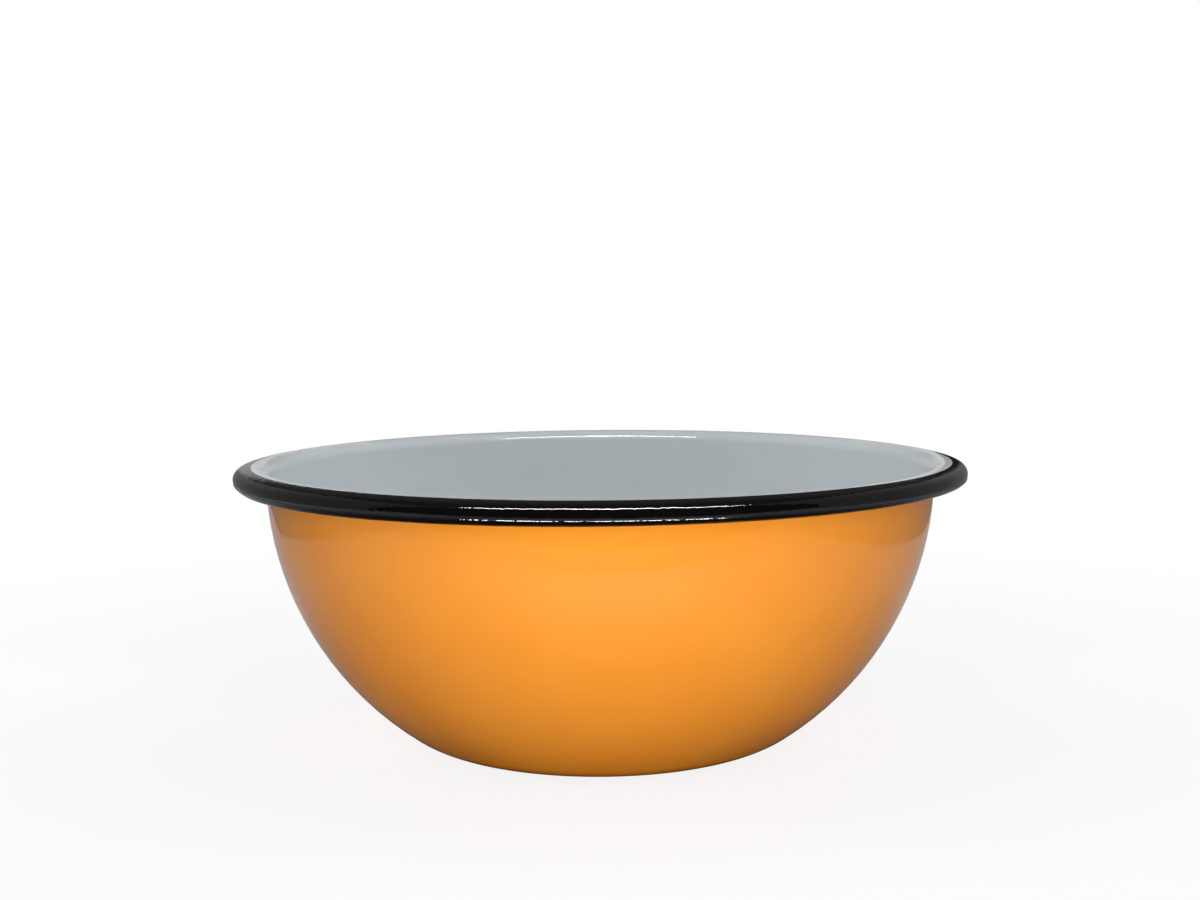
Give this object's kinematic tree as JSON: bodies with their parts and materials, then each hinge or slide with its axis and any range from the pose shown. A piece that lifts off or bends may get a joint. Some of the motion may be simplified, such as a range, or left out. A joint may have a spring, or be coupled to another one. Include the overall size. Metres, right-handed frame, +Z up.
{
  "type": "enamel basin bowl",
  "caption": "Round deep enamelled steel bowl with a flat base, curved side and rolled rim, orange outside, white inside and black along the rim, for holding food or water.",
  "frame": {"origin": "middle of the surface that the bowl stands on", "axes": "+Z up along the bowl's axis of revolution; X and Y are any two level directions square to it"},
  "size_m": [0.24, 0.24, 0.0932],
  "materials": {
    "sheet_steel": "pickled low-carbon sheet steel, bare only at the rolled edge",
    "ground_enamel": "dark blue-black bonding enamel, satin",
    "orange_enamel": "glossy warm orange cover enamel with a faint orange-peel surface",
    "white_enamel": "glossy cool white cover enamel",
    "black_enamel": "glossy black cover enamel on the rolled rim"
  },
  "bodies": {
    "root": {"steel_shell": "sheet_steel", "outer_ground_coat": "ground_enamel", "inner_ground_coat": "ground_enamel", "orange_outer_coat": "orange_enamel", "white_inner_coat": "white_enamel", "black_rim_band": "black_enamel"}
  },
  "joints": []
}
